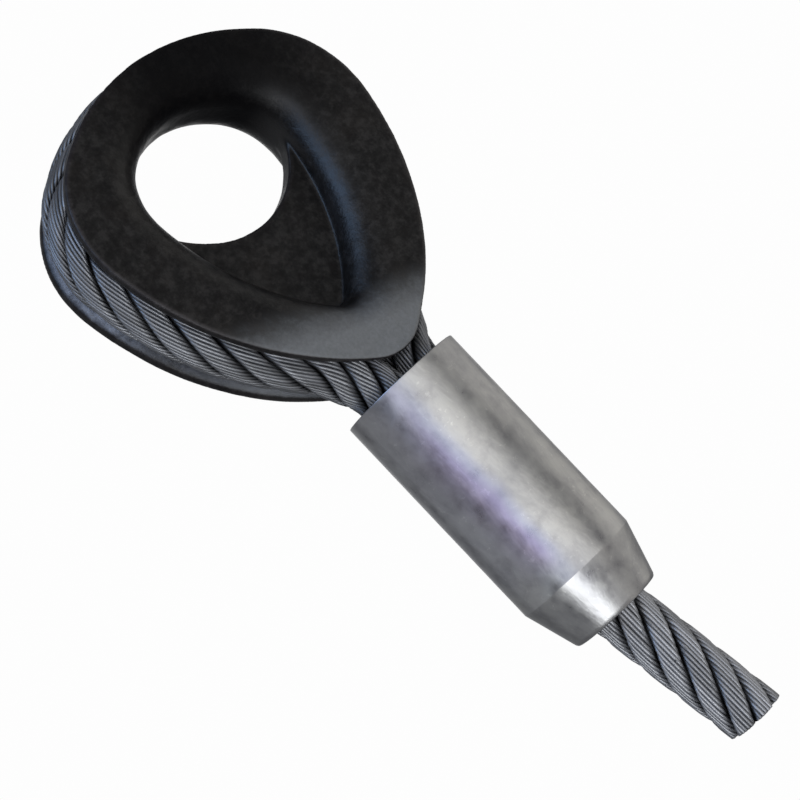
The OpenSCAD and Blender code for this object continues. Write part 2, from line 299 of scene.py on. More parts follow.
# --------------------------------------------------------------------------
# Thimble: one cast body, from a distance field
# --------------------------------------------------------------------------
THROAT_R = 17.7  # rounding between the cheeks and the opening
NECK_SHIFT = 2.0  # the neck of the opening sits this far towards -Y
CHEEK_WEAR = 1.5  # lost from each cheek at the tip
GROOVE_R = 13.40
GROOVE_EASE = 0.55  # more room where the rope starts to leave the groove
RIM_WALL = 2.4  # least thickness left at the groove's mouth
WEB_Y, WEB_HALF, WEB_TRIM = -1.0, 5.0, 0.5  # plate across the crown end of the opening
WEB_R, WEB_Z = 43.6, 17.0  # round hole that bounds the plate
WEB_REACH = 8.0  # how far the plate runs into the body
MESH_HALF_X, MESH_BOTTOM, MESH_MARGIN = 77.5, -106.0, 2.0


def inside_distance(x, z, chain):
    """Distance inside a closed convex outline of arcs, negative outside."""
    ax = np.abs(x)
    best = np.full(x.shape, 1e6)
    start = 0.0
    for radius, end, centre in zip(*chain):
        vx, vz = ax - centre[0], z - centre[1]
        angle = np.degrees(np.arctan2(vx, vz))
        ok = (angle >= start - 1e-6) & (angle <= end + 1e-6)
        best = np.where(ok, np.minimum(best, radius - np.hypot(vx, vz)), best)
        start = end
    return best


def path_distance(x, z):
    """Distance in the XZ plane to the rope's centre line, exact on its arcs."""
    ax = np.abs(x)
    best = np.full(x.shape, 1e6)
    for i, (radius, centre) in enumerate(zip(EYE_R, EYE_C)):
        side = np.sign(radius)
        vx, vz = side * (ax - centre[0]), side * (z - centre[1])
        angle = np.degrees(np.arctan2(vx, vz))
        low, high = sorted(EYE_HEADINGS[i : i + 2])
        ok = (angle >= low) & (angle <= high)
        best = np.where(ok, np.minimum(best, np.abs(abs(radius) - np.hypot(vx, vz))), best)
    best = np.where(z < LEG_C[1], np.minimum(best, np.abs(ax - LEG_X)), best)
    return np.minimum(best, np.hypot(ax - LEG_JOINT[0], z - LEG_JOINT[1]))


def round_max(a, b, r):
    """Intersection of two fields with its edge rounded by r."""
    return np.minimum(np.maximum(a, b), -r) + np.hypot(np.maximum(a + r, 0), np.maximum(b + r, 0))


def smooth_min(a, b, k):
    """Union of two fields, blended over k."""
    h = np.clip(0.5 + 0.5 * (b - a) / k, 0, 1)
    return b + (a - b) * h - k * h * (1 - h)


def thimble_field(x, y, z):
    rim = inside_distance(x, z, OUTER)
    opening = inside_distance(x, z, INNER)
    face = HALF_W - CHEEK_WEAR * ramp(z, -78.0, -104.0)
    neck_y = y + NECK_SHIFT * np.clip(1 - (y / face) ** 2, 0, 1)
    body = round_max(round_max(np.abs(neck_y) - face, opening, THROAT_R), -rim, 1.0)
    # the groove's floor fits the rope, and its mouth flares towards the rim
    fu, fv = flat_u(z), flat_v(z)
    rho = np.hypot(path_distance(x, z) / fu, y / fv)
    ease = GROOVE_EASE * ramp(z, -58.0, -68.0) * (1 - ramp(z, -88.0, -98.0))
    groove = (rho - GROOVE_R - ease) * np.minimum(fu, fv)
    t = np.clip(INSET - rim, 0, 8)
    flare = GROOVE_R * fv + 0.05 + 0.08 * t + 0.062 * t * t
    slot = np.maximum(np.abs(y) - np.minimum(flare, face - RIM_WALL), rim - INSET)
    body = round_max(body, -np.minimum(groove, slot), 0.7)
    ring = np.hypot(x, z - WEB_Z)
    web = round_max(np.abs(y - WEB_Y) - WEB_HALF + WEB_TRIM, WEB_R - ring, 1.2)
    web = np.maximum(web, -opening - WEB_REACH)
    return smooth_min(body, web, 1.6)


def surface_net(field, lo, hi, h):
    """Vertices and quads where a field crosses zero, on a grid of pitch h."""
    n = [int(math.ceil((hi[i] - lo[i]) / h)) + 1 for i in range(3)]
    xs, ys, zs = [lo[i] + h * np.arange(n[i]) for i in range(3)]
    gx, gz = np.meshgrid(xs, zs, indexing="ij")
    val = np.empty(n, np.float32)
    for j, y in enumerate(ys):
        val[:, j, :] = field(gx, np.full(gx.shape, y), gz)
    neg = val < 0
    # each cell's vertex is the mean of the crossings on its twelve edges
    shape = tuple(k - 1 for k in n)
    total = np.zeros(shape + (3,), np.float32)
    count = np.zeros(shape, np.float32)
    for axis in range(3):
        o1, o2 = [q for q in range(3) if q != axis]
        for d1 in (0, 1):
            for d2 in (0, 1):
                s0 = [slice(0, -1)] * 3
                s0[o1] = slice(d1, n[o1] - 1 + d1)
                s0[o2] = slice(d2, n[o2] - 1 + d2)
                s1 = list(s0)
                s1[axis] = slice(1, None)
                s0, s1 = tuple(s0), tuple(s1)
                cross = neg[s0] != neg[s1]
                v0, v1 = val[s0], val[s1]
                t = np.where(cross, v0 / np.where(cross, v0 - v1, 1), 0)
                offset = {axis: t, o1: d1, o2: d2}
                for q in range(3):
                    total[..., q] += np.where(cross, offset[q], 0)
                count += cross
    active = count > 0
    index = np.full(shape, -1, np.int64)
    index[active] = np.arange(active.sum())
    verts = np.array(lo) + h * (np.argwhere(active) + total[active] / count[active][:, None])
    # each crossed edge joins the four cells round it
    faces = []
    for axis in range(3):
        o1, o2 = [(1, 2), (2, 0), (0, 1)][axis]
        s0 = [slice(1, -1)] * 3
        s1 = [slice(1, -1)] * 3
        s0[axis], s1[axis] = slice(0, -1), slice(1, None)
        a, b = neg[tuple(s0)], neg[tuple(s1)]
        for hit, order in ((a & ~b, 1), (~a & b, -1)):
            base = np.argwhere(hit) + 1
            base[:, axis] -= 1
            quad = []
            for e1, e2 in ((-1, -1), (0, -1), (0, 0), (-1, 0)):
                q = base.copy()
                q[:, o1] += e1
                q[:, o2] += e2
                quad.append(index[q[:, 0], q[:, 1], q[:, 2]])
            faces.append(np.stack(quad, 1)[:, ::order])
    return verts, np.concatenate(faces)


def project(field, p):
    """Moves points onto the field's surface, and returns them with their normals."""
    e = 0.05
    for _ in range(4):
        value = field(*p.T)
        slopes = [field(*(p + d).T) - field(*(p - d).T) for d in e * np.eye(3)]
        g = np.stack(slopes, 1) / (2 * e)
        step = np.clip(value / np.maximum((g * g).sum(1), 0.25), -0.6, 0.6)
        p = p - g * step[:, None]
    return p, g / np.maximum(np.linalg.norm(g, axis=1), 1e-6)[:, None]


def make_thimble():
    lo = (-MESH_HALF_X, -HALF_W - MESH_MARGIN, MESH_BOTTOM)
    hi = (MESH_HALF_X, HALF_W + MESH_MARGIN, CROWN_TOP + MESH_MARGIN)
    verts, quads = surface_net(thimble_field, lo, hi, THIMBLE_PITCH)
    verts, normals = project(thimble_field, verts)
    # the cast skin is a little uneven
    skin = 0.14 * wave_noise(verts, 17.0, seed=3.0)
    skin += 0.05 * wave_noise(verts, 4.2, seed=8.0, octaves=2)
    # the groove's walls, which face mid depth, are marked for a painted highlight
    rim = inside_distance(verts[:, 0], verts[:, 2], OUTER)
    groove_highlight = np.clip((-normals[:, 1] * np.sign(verts[:, 1]) - 0.35) / 0.4, 0, 1)
    groove_highlight *= np.clip(rim - 0.4, 0, 1) * np.clip((INSET + 3.0 - rim) / 2.0, 0, 1)
    verts = verts + normals * skin[:, None]
    return new_mesh("thimble_cast", verts, quads, attributes={"groove_highlight": groove_highlight})


# --------------------------------------------------------------------------
# Rope: six outer strands, each with its ring of outer wires
# --------------------------------------------------------------------------
STRAND_A = 9.02  # rope's axis to a strand's middle
WIRE_RHO, WIRE_R, WIRES = 3.17, 0.80, 16
FILL_RHO, FILL_SIDES = 2.75, 14  # plain tube inside the ring of wires
WIRE_LAY, TAIL_WIRE_LAY = 37.0, 44.0
TAIL_LAY, TAIL_PHASE = 108.0, 0.0226
EYE_LAY = (119.0, 104.0)  # round the bend, and along the legs
SQUARE, STRETCH = 5.4, 1.24  # squareness of a strand's outline, and its width round the rope
# Wires inside a strand: distance from its middle, count, wire radius, offset as a share of pitch
INNER_WIRES = [(2.02, 7, 0.56, 0.0), (2.22, 7, 0.36, 0.5), (1.06, 7, 0.50, 0.25), (0.0, 1, 0.62, 0.0)]
# Core of the tail: six strands round one, each of six wires round one
CORE_LAY, CORE_WIRE_LAY = 46.0, 30.0
CORE_A, CORE_RHO, CORE_WIRE_R = 3.25, 1.02, 0.5

_lay_s = np.linspace(0, 400, 1601)
_lay = EYE_LAY[0] + (EYE_LAY[1] - EYE_LAY[0]) * np.clip((_lay_s - 95.0) / 80.0, 0, 1)
_lay_turns = np.concatenate([[0], np.cumsum(np.diff(_lay_s) / _lay[:-1])])


def eye_turns(s):
    """Turns of the strands round the rope from the crown to s."""
    return np.sign(s) * np.interp(np.abs(s), _lay_s, _lay_turns)


def tail_turns(s):
    return s / TAIL_LAY + TAIL_PHASE


def strand_polar(rho, g):
    """Radius from the rope's axis and angle from the strand's middle, round one strand's outline.
    The strand is pressed against its neighbours, so its outside follows the rope's round."""
    c, q = np.cos(g), np.sin(g)
    k = (np.abs(c) ** SQUARE + (np.abs(q) / STRETCH) ** SQUARE) ** (-1 / SQUARE)
    return STRAND_A + rho * k * c, rho * k * q / (STRAND_A + 0.45 * rho * k * c)


# share of the way round a strand's outline at each angle
_angle = np.linspace(0, 2 * math.pi, 721)
_r, _a = strand_polar(WIRE_RHO, _angle)
_share = np.hypot(np.diff(_r * np.cos(_a)), np.diff(_r * np.sin(_a)))
_share = np.concatenate([[0], np.cumsum(_share)])
_share /= _share[-1]


def strand_uv(turns, turn, rho, share):
    """Section place of a point about rho from its strand's centre, a share of the way round it."""
    r, a = strand_polar(rho, np.interp(np.mod(share, 1.0), _share, _angle))
    f = -2 * math.pi * turns + math.radians(turn) + a
    return r * np.cos(f), r * np.sin(f)


def ring_angles(sides):
    return 2 * math.pi * (np.arange(sides) + 0.5) / sides


def wire_rings(point, s, centre, radius, sides):
    """Rings of one wire, and their distance from the rope's axis."""
    t = ring_angles(sides)
    u = centre[0][:, None] + radius * np.cos(t)
    v = centre[1][:, None] + radius * np.sin(t)
    return point(np.broadcast_to(s[:, None], u.shape), u, v), np.hypot(u, v)


def strand_mesh(tubes, point, turns, s, turn, seed, lay, sides, end=None):
    for w in range(WIRES):
        j = hash01(seed, w, turn)
        share = s / lay + (w + 0.10 * (j - 0.5)) / WIRES
        wobble = 0.03 * np.sin(s / 19.0 + 6.28 * j) + 0.03 * (j - 0.5)
        centre = strand_uv(turns(s), turn, WIRE_RHO + wobble, share)
        rings, rho = wire_rings(point, s, centre, WIRE_R, sides)
        # height: 1 on the rope's crown line, 0 deep between the strands
        height = np.clip((rho - 9.6) / 3.2, 0, 1)
        tubes.add(rings, end, tone=hash01(seed, w, 3.3), height=height)
    if len(s) % 2 and end is None:
        s = s[::2]
    f = np.broadcast_to(s[:, None], (len(s), FILL_SIDES))
    share = ring_angles(FILL_SIDES)[None, :] / (2 * math.pi)
    u, v = strand_uv(turns(f), turn, FILL_RHO, share)
    # height 0 gives the filler tube the full painted shade of the valleys
    tubes.add(point(f, u, v), end, tone=0.1, height=0.0)


def inner_wires(tubes, s, turn, end):
    """The wires inside a tail strand, seen only at the cut end."""
    s = s[-16:]
    for rho, count, radius, offset in INNER_WIRES:
        for w in range(count):
            share = s / TAIL_WIRE_LAY + (w + offset) / count
            centre = strand_uv(tail_turns(s), turn, rho, share)
            rings, _ = wire_rings(tail_pt, s, centre, radius, sides=7)
            # height 0.5 gives these wires part of the painted shade
            tubes.add(rings, end, tone=hash01(w, rho), height=0.5)


def core_mesh(tubes, s, end):
    for i in range(7):
        f = -2 * math.pi * s / CORE_LAY + 2 * math.pi * i / 6
        strand_a = 0.0 if i == 6 else CORE_A
        for w in range(7):
            g = 2 * math.pi * s / CORE_WIRE_LAY + 2 * math.pi * w / 6
            rho = 0.0 if w == 6 else CORE_RHO
            out, across = strand_a + rho * np.cos(g), rho * np.sin(g)
            centre = (
                out * np.cos(f) - across * np.sin(f),
                out * np.sin(f) + across * np.cos(f),
            )
            rings, _ = wire_rings(tail_pt, s, centre, CORE_WIRE_R, sides=6)
            # height 0.3 gives the core wires most of the painted shade
            tubes.add(rings, end, tone=hash01(i, w), height=0.3)


def stations(a, b, step):
    return np.linspace(a, b, int(math.ceil((b - a) / step)) + 1)


def make_loop():
    s = stations(-EYE_HALF, EYE_HALF, LOOP_STEP)
    strands = []
    for k in range(6):
        tubes = Tubes()
        strand_mesh(tubes, eye_pt, eye_turns, s, 60 * k, 10 + k, WIRE_LAY, LOOP_SIDES)
        ob = tubes.build(f"loop_strand_wires_{k + 1}")
        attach(ob, "eye")
        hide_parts(f"loop_strand_{k + 1}")
        strands.append(ob)
    return strands


def hinge_tail(ob, k):
    """Bends length k of the tail over its hinge."""
    hinge = FLEX_START + k * FLEX - GAP / 2
    start, end = [
        tuple(tail_pt(s, 0.0, 0.0) * MM) for s in (hinge - HINGE_REACH, hinge + HINGE_REACH)
    ]
    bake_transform(ob, BODIES[k], BODIES[k + 1], start=start, end=end)


def replace_tail(kind, k):
    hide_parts(f"tail_{kind}_{k + 1}")
    if k == 0:
        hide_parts(f"tail_root_{kind}")


def make_tail():
    """Four lengths of rope, each over one hinge, that meet half way along a rigid length."""
    middles = [FLEX_START + k * FLEX + (FLEX - GAP) / 2 for k in range(3)]
    edges = [-TAIL_ABOVE, *middles, TAIL_L + TAIL_BEYOND]
    strands, cores = [], []
    for k in range(4):
        s = stations(edges[k], edges[k + 1], TAIL_STEP)
        end = TAIL_END if k == 3 else None
        for i in range(6):
            tubes = Tubes()
            strand_mesh(
                tubes, tail_pt, tail_turns, s, 60 * i, 30 + i, TAIL_WIRE_LAY, TAIL_SIDES, end
            )
            if k == 3:
                inner_wires(tubes, s, 60 * i, end - 0.05)
            ob = tubes.build(f"tail_strand_{i + 1}_length_{k + 1}")
            hinge_tail(ob, k)
            if i == 0:
                if k == 0:
                    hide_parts("tail_strands_1")
                    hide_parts("tail_root_strands")
                else:
                    replace_tail("strands", k)
            strands.append(ob)
        tubes = Tubes()
        core_mesh(tubes, s, end)
        ob = tubes.build(f"tail_core_length_{k + 1}")
        hinge_tail(ob, k)
        replace_tail("core", k)
        cores.append(ob)
    return strands, cores


# --------------------------------------------------------------------------
# Sleeve: pressed steel, with the marks of the press
# --------------------------------------------------------------------------
SHOULDER_Z = SLEEVE_TOP - 102.5  # the taper starts here
END_R = 21.0
MOUTH_R, MOUTH_FLARE, LIP_R = 21.6, 1.2, 1.0
BORE_R, BORE_FLARE = 13.45, 0.95
END_EDGE = 0.7
DENTS = 26


def arc(centre_r, centre_z, radius, start, end, count):
    angles = np.linspace(math.radians(start), math.radians(end), count)
    return [(centre_r + radius * math.cos(t), centre_z + radius * math.sin(t)) for t in angles]


def sleeve_profile():
    """Radius and z: up the mouth's bore, over the lip, down the outside and up the end's bore."""
    top, bottom, lip = SLEEVE_TOP, SLEEVE_BOTTOM, MOUTH_R + MOUTH_FLARE + LIP_R
    taper = math.degrees(math.atan2(SLEEVE_R - END_R, SHOULDER_Z - bottom))
    points = [(MOUTH_R, z) for z in np.linspace(top - 24, top - 14, 4)]
    for t in np.linspace(0, 1, 6)[1:]:
        points.append((MOUTH_R + MOUTH_FLARE * t * t, top - 14 + 12.6 * t))
    points += arc(lip, top - LIP_R, LIP_R, 180, 90, 5)
    points += arc(SLEEVE_R - 0.4, top - 0.4, 0.4, 90, 0, 5)
    points += [(SLEEVE_R, z) for z in np.linspace(top - 1.2, SHOULDER_Z + 1.0, 70)]
    rise = 1.2 * math.tan(math.radians(taper / 2))
    points += arc(SLEEVE_R - 1.2, SHOULDER_Z + rise, 1.2, 0, -taper, 5)
    for t in np.linspace(0.04, 0.955, 20):
        points.append((SLEEVE_R + (END_R - SLEEVE_R) * t, SHOULDER_Z + (bottom - SHOULDER_Z) * t))
    points += arc(END_R - 0.75, bottom + 0.75, END_EDGE, -taper, -90, 5)
    points += arc(BORE_R + BORE_FLARE + END_EDGE, bottom + END_EDGE, END_EDGE, -90, -180, 5)
    for z in np.linspace(bottom + 1.8, bottom + 30, 8):
        points.append((BORE_R + BORE_FLARE * max(0, 1 - (z - bottom) / 12), z))
    return np.array(points)


def make_sleeve():
    profile = sleeve_profile()
    shape = (len(profile), SLEEVE_SIDES)
    radius = np.broadcast_to(profile[:, :1], shape).copy()
    z = np.broadcast_to(profile[:, 1:], shape)
    angle = np.broadcast_to(np.linspace(0, 2 * math.pi, SLEEVE_SIDES, endpoint=False), shape)
    marked = radius > 20.9  # the outside and the mouth, but not the end's bore
    # two faint flats where the halves of the die met, and a slow wave from pressing
    side = np.abs(((angle - math.radians(8) + math.pi / 2) % math.pi) - math.pi / 2)
    radius -= np.where(marked, 0.10 * np.exp(-((side / 0.10) ** 2)), 0)
    p = np.stack([radius * np.cos(angle), radius * np.sin(angle), z], -1).reshape(-1, 3)
    dent = 0.035 * wave_noise(p * np.array([1, 1, 0.35]), 9.0, seed=5.0)
    dent += 0.018 * wave_noise(p, 3.0, seed=9.0, octaves=2)
    for k in range(DENTS):
        t = hash01(k, 1) * 2 * math.pi
        dent_z = SLEEVE_TOP - 5 - hash01(k, 2) * 115
        centre = np.array([SLEEVE_R * math.cos(t), SLEEVE_R * math.sin(t), dent_z])
        size = 0.8 + 2.2 * hash01(k, 4) ** 2
        squash = np.array([1, 1, 0.6 + hash01(k, 5)])
        e = np.linalg.norm((p - centre) * squash, axis=1) / size
        dent -= (0.06 + 0.14 * hash01(k, 3)) * np.exp(-(e**2))
    dent = np.where(marked.ravel(), dent, 0)
    p[:, :2] *= ((radius.ravel() + dent) / radius.ravel())[:, None]
    # the last row joins the first, which closes the bore inside, out of sight
    a = np.arange(p.shape[0]).reshape(shape)
    b = np.roll(a, -1, 0)
    quads = np.stack([a, b, np.roll(b, -1, 1), np.roll(a, -1, 1)], -1).reshape(-1, 4)
    return new_mesh("sleeve_pressed", p, quads)


# --------------------------------------------------------------------------
# Materials. Lengths in shaders are in metres, and noise scales are per metre.
# --------------------------------------------------------------------------
def rgba(colour):
    """Opaque colour from three channels, or grey from one number."""
    return (*colour, 1) if isinstance(colour, tuple) else (colour, colour, colour, 1)


class Shader:
    """The node tree of a material or world. Most methods return an output socket."""

    def __init__(self, owner):
        self.owner = owner
        owner.use_nodes = True
        self.tree = owner.node_tree
        self.tree.nodes.clear()

    def add(self, kind, inputs=None, **settings):
        """A node whose inputs are each linked to a socket or set to a value."""
        node = self.tree.nodes.new(kind)
        for key, value in settings.items():
            setattr(node, key, value)
        for key, value in (inputs or {}).items():
            socket = node.inputs[key]
            if isinstance(value, bpy.types.NodeSocket):
                self.tree.links.new(value, socket)
            else:
                socket.default_value = rgba(value) if socket.type == "RGBA" else value
        return node

    def position(self):
        return self.add("ShaderNodeTexCoord").outputs["Object"]

    def coords(self, scale=(1, 1, 1)):
        inputs = {"Vector": self.position(), "Scale": scale}
        return self.add("ShaderNodeMapping", inputs).outputs[0]

    def separate(self, vector):
        return self.add("ShaderNodeSeparateXYZ", {0: vector}).outputs

    def noise(self, vector, scale, detail, rough, distortion=0.0):
        inputs = {"Vector": vector, "Scale": scale, "Detail": detail}
        inputs.update({"Roughness": rough, "Distortion": distortion})
        return self.add("ShaderNodeTexNoise", inputs).outputs[0]

    def ramp(self, source, *stops):
        """stops: (position, colour or grey)."""
        node = self.add("ShaderNodeValToRGB", {0: source})
        elements = node.color_ramp.elements
        while len(elements) < len(stops):
            elements.new(0.5)
        for element, (position, colour) in zip(elements, stops):
            element.position = position
            element.color = rgba(colour)
        return node.outputs[0]

    def math(self, operation, *values, clamp=False):
        inputs = dict(enumerate(values))
        return self.add("ShaderNodeMath", inputs, operation=operation, use_clamp=clamp).outputs[0]

    def multiply(self, a, b, clamp=False):
        return self.math("MULTIPLY", a, b, clamp=clamp)

    def multiply_add(self, a, factor, addend):
        return self.math("MULTIPLY_ADD", a, factor, addend)

    def fade(self, value, start, end, low=0.0, high=1.0, kind="SMOOTHSTEP"):
        """Goes from low at start to high at end."""
        inputs = {"Value": value, "From Min": start, "From Max": end}
        inputs.update({"To Min": low, "To Max": high})
        return self.add("ShaderNodeMapRange", inputs, interpolation_type=kind).outputs[0]

    def mix(self, factor, a, b, mode="MIX"):
        inputs = {0: factor, 6: a, 7: b}
        return self.add("ShaderNodeMix", inputs, data_type="RGBA", blend_type=mode).outputs[2]

    def tint(self, factor, a, b):
        return self.mix(factor, a, b, "MULTIPLY")

    def attribute(self, name):
        return self.add("ShaderNodeAttribute", attribute_name=name).outputs["Fac"]

    def bumps(self, *layers):
        """layers: (height, strength, depth), each over the one before."""
        under = {}
        for height, strength, depth in layers:
            inputs = {"Strength": strength, "Distance": depth, "Height": height, **under}
            normal = self.add("ShaderNodeBump", inputs).outputs[0]
            under = {"Normal": normal}
        return normal

    def principled(self, inputs):
        surface = self.add("ShaderNodeBsdfPrincipled", inputs).outputs[0]
        self.add("ShaderNodeOutputMaterial", {0: surface})
        return self.owner

    def split_camera(self, shown, other):
        """Camera rays meet the first shader node, and all other rays the second."""
        camera = self.add("ShaderNodeLightPath").outputs["Is Camera Ray"]
        inputs = {0: camera, 1: other.outputs[0], 2: shown.outputs[0]}
        return self.add("ShaderNodeMixShader", inputs).outputs[0]


def new_material(name):
    return Shader(bpy.data.materials.new(name))


def mat_thimble():
    m = new_material("thimble_paint")
    place = m.coords()
    big = m.noise(place, scale=40, detail=6, rough=0.66)
    mid = m.noise(place, scale=250, detail=6, rough=0.72)
    fine = m.noise(place, scale=760, detail=3, rough=0.6)
    dark, middle, light = (0.0048, 0.0044, 0.0048), (0.0078, 0.0068, 0.0068), (0.0130, 0.0110, 0.0100)
    colour = m.ramp(big, (0.36, dark), (0.50, middle), (0.64, light))
    # brown-grey wear in patches
    patches = m.multiply(m.ramp(mid, (0.50, 0), (0.62, 1)), 0.26)
    colour = m.mix(patches, colour, (0.040, 0.035, 0.033))
    # scratches and dust on the edges that stand out
    geometry = m.add("ShaderNodeNewGeometry").outputs
    edges = m.multiply(m.ramp(geometry["Pointiness"], (0.51, 0), (0.58, 1)), fine)
    edges = m.multiply(edges, 0.8, clamp=True)
    colour = m.mix(edges, colour, (0.085, 0.070, 0.072))
    position = m.position()
    x, _, z = m.separate(position)
    # darker and less shiny over the crown, round one point
    crown = {0: position, 1: (0.020, -0.010, 0.030)}
    crown = m.add("ShaderNodeVectorMath", crown, operation="DISTANCE").outputs["Value"]
    crown_dark = m.fade(crown, start=0.070, end=0.022)
    # a painted highlight: lighter grey on the cheeks towards the tip, along a slanted, ragged line
    lean = m.multiply_add(x, 0.32, z)
    lean = m.multiply_add(mid, 0.016, lean)
    tip = m.fade(lean, start=-0.061, end=-0.084)
    side = m.math("ABSOLUTE", m.separate(geometry["Normal"])[1])
    cheek = m.fade(side, start=0.55, end=0.93)
    tip_highlight = m.multiply(tip, cheek, clamp=True)
    tip_highlight = m.multiply(tip_highlight, m.ramp(fine, (0.3, 0.80), (0.7, 1)), clamp=True)
    colour = m.mix(tip_highlight, colour, (0.230, 0.236, 0.240))
    # the darker stretch round the crown
    colour = m.mix(m.multiply(crown_dark, 0.75), colour, (0.0025, 0.0025, 0.0030))
    # a painted highlight, bluish grey, on the groove's faces, most towards the crown
    groove_highlight = m.multiply(m.attribute("groove_highlight"), m.ramp(mid, (0.35, 0.35), (0.62, 1)), clamp=True)
    groove_highlight = m.multiply(groove_highlight, m.fade(z, start=-0.040, end=-0.012, low=0.22), clamp=True)
    colour = m.mix(groove_highlight, colour, (0.30, 0.325, 0.39))
    # the walls of the opening are shinier than the cheeks, towards +X and the tip
    specular = m.ramp(mid, (0.38, 0.24), (0.62, 0.46))
    specular = m.mix(crown_dark, specular, 0.09)
    wall = m.fade(side, start=0.92, end=0.74)
    low = m.fade(m.multiply_add(z, -1.0, x), start=0.018, end=0.044)
    wall = m.multiply(m.multiply(wall, low), 0.50)
    return m.principled({
        "Base Color": colour,
        "Roughness": m.ramp(mid, (0.35, 0.29), (0.65, 0.46)),
        "Specular IOR Level": m.mix(wall, specular, 0.95),
        "Normal": m.bumps((big, 0.35, 0.0014), (mid, 0.45, 0.0005), (fine, 0.35, 0.00015)),
    })


# Painted reflection of a blue light round the sleeve: its colour by share of a turn from -X through -Y
BLUE_REFLECTION = [
    (0.00, (0.95, 0.96, 1.0)),
    (0.070, (0.95, 0.95, 1.0)),
    (0.104, (0.95, 0.90, 1.0)),
    (0.134, (0.87, 0.76, 0.94)),
    (0.154, (0.85, 0.75, 1.0)),
    (0.176, (0.88, 0.88, 1.0)),
    (0.198, (1.0, 1.0, 0.99)),
    (0.75, (1.0, 0.99, 0.97)),
    (1.00, (0.95, 0.96, 1.0)),
]


def mat_sleeve():
    m = new_material("sleeve_steel")
    place = m.coords()
    along = m.coords((1, 1, 0.12))
    big = m.noise(place, scale=22, detail=4, rough=0.55, distortion=0.4)
    mid = m.noise(place, scale=120, detail=5, rough=0.6)
    fine = m.noise(place, scale=900, detail=2, rough=0.5)
    draw = m.noise(along, scale=420, detail=3, rough=0.6)
    smear = m.noise(m.coords((1, 1, 0.30)), scale=55, detail=5, rough=0.66, distortion=0.8)
    dark, middle, light = (0.62, 0.615, 0.61), (0.69, 0.68, 0.665), (0.76, 0.74, 0.715)
    colour = m.ramp(big, (0.30, dark), (0.55, middle), (0.75, light))
    dark, middle, light = (0.66, 0.66, 0.69), (0.92, 0.92, 0.93), (1.04, 1.04, 1.03)
    colour = m.tint(0.75, colour, m.ramp(mid, (0.32, dark), (0.50, middle), (0.66, light)))
    dark, light = (0.74, 0.74, 0.76), (1.06, 1.06, 1.04)
    colour = m.tint(0.7, colour, m.ramp(smear, (0.36, dark), (0.52, 1), (0.66, light)))
    # a painted reflection of a blue light: a faint violet and blue tint on one side, less at the mouth and
    # none at the end
    x, y, z = m.separate(m.position())
    azimuth = m.multiply_add(big, 0.40, m.math("ARCTAN2", y, x))
    blue_reflection = m.ramp(m.multiply_add(azimuth, 1 / (2 * math.pi), 0.5), *BLUE_REFLECTION)
    end = m.fade(z, start=-0.211, end=-0.196, high=0.95)
    mouth = m.fade(z, start=-0.112, end=-0.152, low=0.30)
    colour = m.tint(m.multiply(end, mouth), colour, blue_reflection)
    # small bright rubs
    fleck = m.noise(place, scale=330, detail=4, rough=0.75, distortion=0.6)
    colour = m.tint(1.0, colour, m.ramp(fleck, (0.60, 1), (0.68, (1.22, 1.22, 1.20))))
    return m.principled({
        "Base Color": colour,
        "Metallic": 1.0,
        "Roughness": m.ramp(mid, (0.28, 0.26), (0.72, 0.41)),
        "Normal": m.bumps(
            (big, 0.42, 0.0013),
            (smear, 0.30, 0.0006),
            (mid, 0.28, 0.00035),
            (draw, 0.16, 0.00010),
            (fine, 0.10, 0.00005),
        ),
    })


def mat_rope(name, dark=False):
    m = new_material(name)
    place = m.coords()
    tone, height = m.attribute("tone"), m.attribute("height")
    big = m.noise(place, scale=60, detail=3, rough=0.6)
    fine = m.noise(place, scale=700, detail=3, rough=0.6)
    dull, middle, bright = (0.25, 0.252, 0.262), (0.32, 0.325, 0.34), (0.41, 0.415, 0.435)
    wire = m.ramp(tone, (0.0, dull), (0.5, middle), (1.0, bright))
    # painted shade: darker in the valleys between the strands, in patches
    valley_shade = m.ramp(height, (0.0, 1), (0.38, 0.80), (0.72, 0.16), (1.0, 0.02))
    valley_shade = m.tint(1.0, valley_shade, m.ramp(big, (0.30, 0.55), (0.70, 1.25)))
    # the tail's wires are lighter in colour, most below z = -0.24 m
    z = m.separate(m.position())[2]
    tail_lighter = m.fade(z, start=-0.240, end=-0.200, low=1.32, high=1.0, kind="LINEAR")
    colour = m.mix(valley_shade, m.tint(1.0, wire, tail_lighter), (0.020, 0.020, 0.022))
    # painted shade: the core's wires are a darker copy of the rope's wire, as they lie inside the rope
    if dark:
        colour = m.mix(0.55, colour, (0.03, 0.03, 0.032))
    return m.principled({
        "Base Color": colour,
        "Metallic": 0.85,
        "Roughness": m.mix(valley_shade, 0.46, 0.60),
        "Normal": m.bumps((fine, 0.2, 0.00008)),
    })


def paint(ob, material):
    ob.data.materials.clear()
    ob.data.materials.append(material)


# --------------------------------------------------------------------------
# Camera, floor and light
# --------------------------------------------------------------------------
# The camera's axes. It looks from the -X -Y side, almost level.
RIGHT = Vector((0.6248, -0.3715, -0.6868)).normalized()
DOWN = Vector((-0.5542, 0.4085, -0.7252))
DOWN = (DOWN - DOWN.dot(RIGHT) * RIGHT).normalized()
AWAY = RIGHT.cross(DOWN)
ORIGIN_SEEN = (-76.25898, -87.59044, 893.2)  # world origin, mm right, down and away of the camera

FLOOR_HALF, FLOOR_Z = 4, -0.36  # metres
WHITE = 0.985

